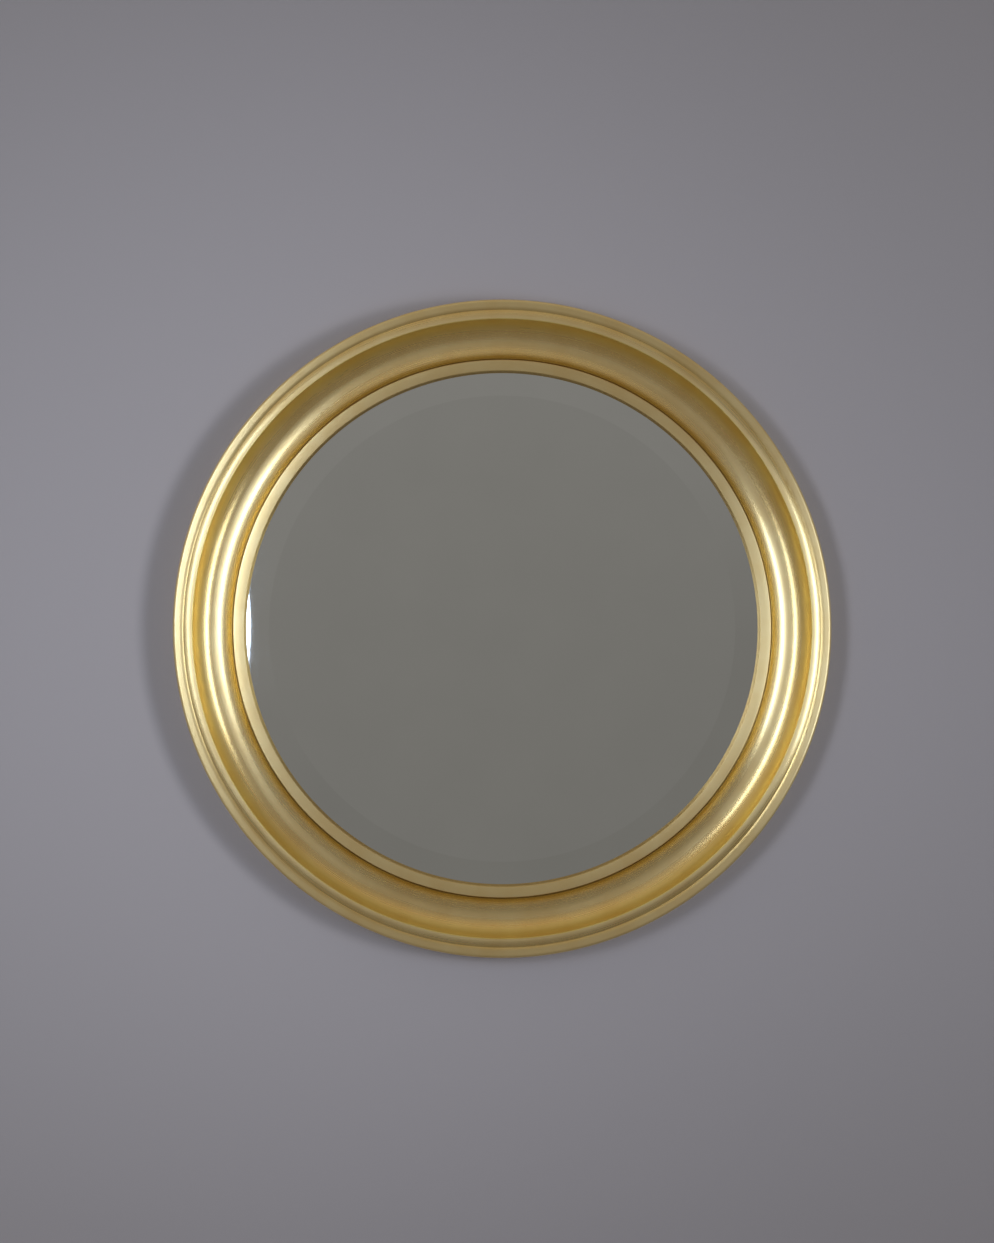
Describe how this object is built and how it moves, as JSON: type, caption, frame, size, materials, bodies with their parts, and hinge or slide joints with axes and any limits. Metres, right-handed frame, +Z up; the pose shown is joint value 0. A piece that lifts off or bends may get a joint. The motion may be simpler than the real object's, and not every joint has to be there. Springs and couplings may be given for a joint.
{
  "type": "round mirror",
  "caption": "Round wall mirror: bevelled glass in a gilded turned ring with a hollow moulding, held by a back board and turn buttons, and hung from a keyhole plate.",
  "frame": {"origin": "centre of the hanger's round eye, on the plane where the ring's back meets the wall", "axes": "+Z up, +Y into the wall, the mirror faces -Y, and its axis is parallel to Y"},
  "size_m": [0.6, 0.0328, 0.6],
  "materials": {
    "gilded_wood": "satin gold leaf over wood",
    "key_wood": "sawn",
    "cork": "granular",
    "mirror_glass": "polished and bevelled",
    "greyboard": "matt",
    "hardboard": "pressed fibre",
    "brass": "satin",
    "steel": "zinc plated"
  },
  "bodies": {
    "mirror": {"back_board": "hardboard", "backing_sheet": "greyboard", "frame_segment_1": "gilded_wood", "frame_segment_2": "gilded_wood", "frame_segment_3": "gilded_wood", "frame_segment_4": "gilded_wood", "frame_segment_5": "gilded_wood", "frame_segment_6": "gilded_wood", "frame_segment_7": "gilded_wood", "frame_segment_8": "gilded_wood", "glass_spacer_1": "cork", "glass_spacer_2": "cork", "glass_spacer_3": "cork", "glass_spacer_4": "cork", "glass_spacer_5": "cork", "glass_spacer_6": "cork", "glass_spacer_7": "cork", "glass_spacer_8": "cork", "hanger_plate": "steel", "hanger_screws": "steel", "mirror_glass": "mirror_glass", "segment_key_1": "key_wood", "segment_key_2": "key_wood", "segment_key_3": "key_wood", "segment_key_4": "key_wood", "segment_key_5": "key_wood", "segment_key_6": "key_wood", "segment_key_7": "key_wood", "segment_key_8": "key_wood", "turn_button_screws": "brass"},
    "turn_button_1": {"turn_button_1": "brass"},
    "turn_button_2": {"turn_button_2": "brass"},
    "turn_button_3": {"turn_button_3": "brass"},
    "turn_button_4": {"turn_button_4": "brass"},
    "turn_button_5": {"turn_button_5": "brass"},
    "turn_button_6": {"turn_button_6": "brass"}
  },
  "joints": [
    {"name": "turn_button_1_turn", "type": "hinge", "parent": "mirror", "child": "turn_button_1", "pos_m": [0.2507, -0.00704, -0.2799], "axis": [0, 1, 0], "continuous": true},
    {"name": "turn_button_2_turn", "type": "hinge", "parent": "mirror", "child": "turn_button_2", "pos_m": [0.12535, -0.00704, -0.06279], "axis": [0, 1, 0], "continuous": true},
    {"name": "turn_button_3_turn", "type": "hinge", "parent": "mirror", "child": "turn_button_3", "pos_m": [-0.12535, -0.00704, -0.06279], "axis": [0, 1, 0], "continuous": true},
    {"name": "turn_button_4_turn", "type": "hinge", "parent": "mirror", "child": "turn_button_4", "pos_m": [-0.2507, -0.00704, -0.2799], "axis": [0, 1, 0], "continuous": true},
    {"name": "turn_button_5_turn", "type": "hinge", "parent": "mirror", "child": "turn_button_5", "pos_m": [-0.12535, -0.00704, -0.49701], "axis": [0, 1, 0], "continuous": true},
    {"name": "turn_button_6_turn", "type": "hinge", "parent": "mirror", "child": "turn_button_6", "pos_m": [0.12535, -0.00704, -0.49701], "axis": [0, 1, 0], "continuous": true}
  ]
}
